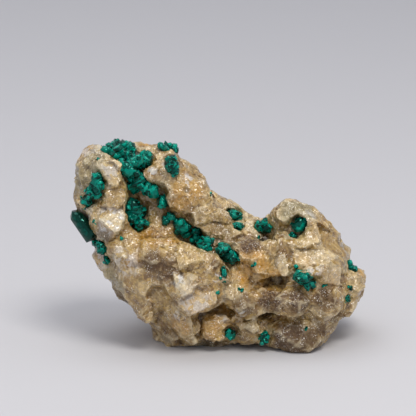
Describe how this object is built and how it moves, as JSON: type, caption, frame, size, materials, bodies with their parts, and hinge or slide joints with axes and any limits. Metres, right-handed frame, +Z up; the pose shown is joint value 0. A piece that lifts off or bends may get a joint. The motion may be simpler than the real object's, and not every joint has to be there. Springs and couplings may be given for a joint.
{
  "type": "dioptase on calcite specimen",
  "caption": "Mineral hand specimen: emerald-green dioptase crystals in crusts and sprays on a broken, stained mass of calcite that rests on flat feet.",
  "frame": {"origin": "under the middle of the specimen's bounding box, on the flat surface it rests on", "axes": "+X to the right of the shown front, along the length; +Y away from the front; +Z up from the flat feet"},
  "size_m": [0.0802, 0.0476, 0.0561],
  "materials": {
    "calcite": "broken calcite, partly translucent, cream to tan with orange and brown stain",
    "dioptase": "clear to translucent deep emerald green crystal, glassy faces"
  },
  "bodies": {
    "root": {"calcite_matrix": "calcite", "dioptase_back_crust": "dioptase", "dioptase_back_low_crystal": "dioptase", "dioptase_back_right_group": "dioptase", "dioptase_back_string": "dioptase", "dioptase_cleft_group": "dioptase", "dioptase_crest_group": "dioptase", "dioptase_crest_group_2": "dioptase", "dioptase_edge_bud": "dioptase", "dioptase_edge_crystal": "dioptase", "dioptase_edge_prism": "dioptase", "dioptase_left_edge_bud": "dioptase", "dioptase_left_edge_group": "dioptase", "dioptase_left_edge_group_2": "dioptase", "dioptase_left_patch": "dioptase", "dioptase_left_patch_2": "dioptase", "dioptase_left_side_crystal": "dioptase", "dioptase_lower_cleft_crystal": "dioptase", "dioptase_lower_front_crystal": "dioptase", "dioptase_lower_pair": "dioptase", "dioptase_recess_group": "dioptase", "dioptase_recess_lath": "dioptase", "dioptase_ridge_group": "dioptase", "dioptase_right_lobe_bud": "dioptase", "dioptase_right_lobe_crystal": "dioptase", "dioptase_right_pocket_group": "dioptase", "dioptase_right_side_crystal": "dioptase", "dioptase_saddle_group": "dioptase", "dioptase_saddle_lath": "dioptase", "dioptase_side_crystal": "dioptase", "dioptase_string_bud": "dioptase", "dioptase_string_lower": "dioptase", "dioptase_string_upper": "dioptase", "dioptase_string_upper_2": "dioptase", "dioptase_upper_crust": "dioptase", "dioptase_upper_crust_2": "dioptase"}
  },
  "joints": []
}
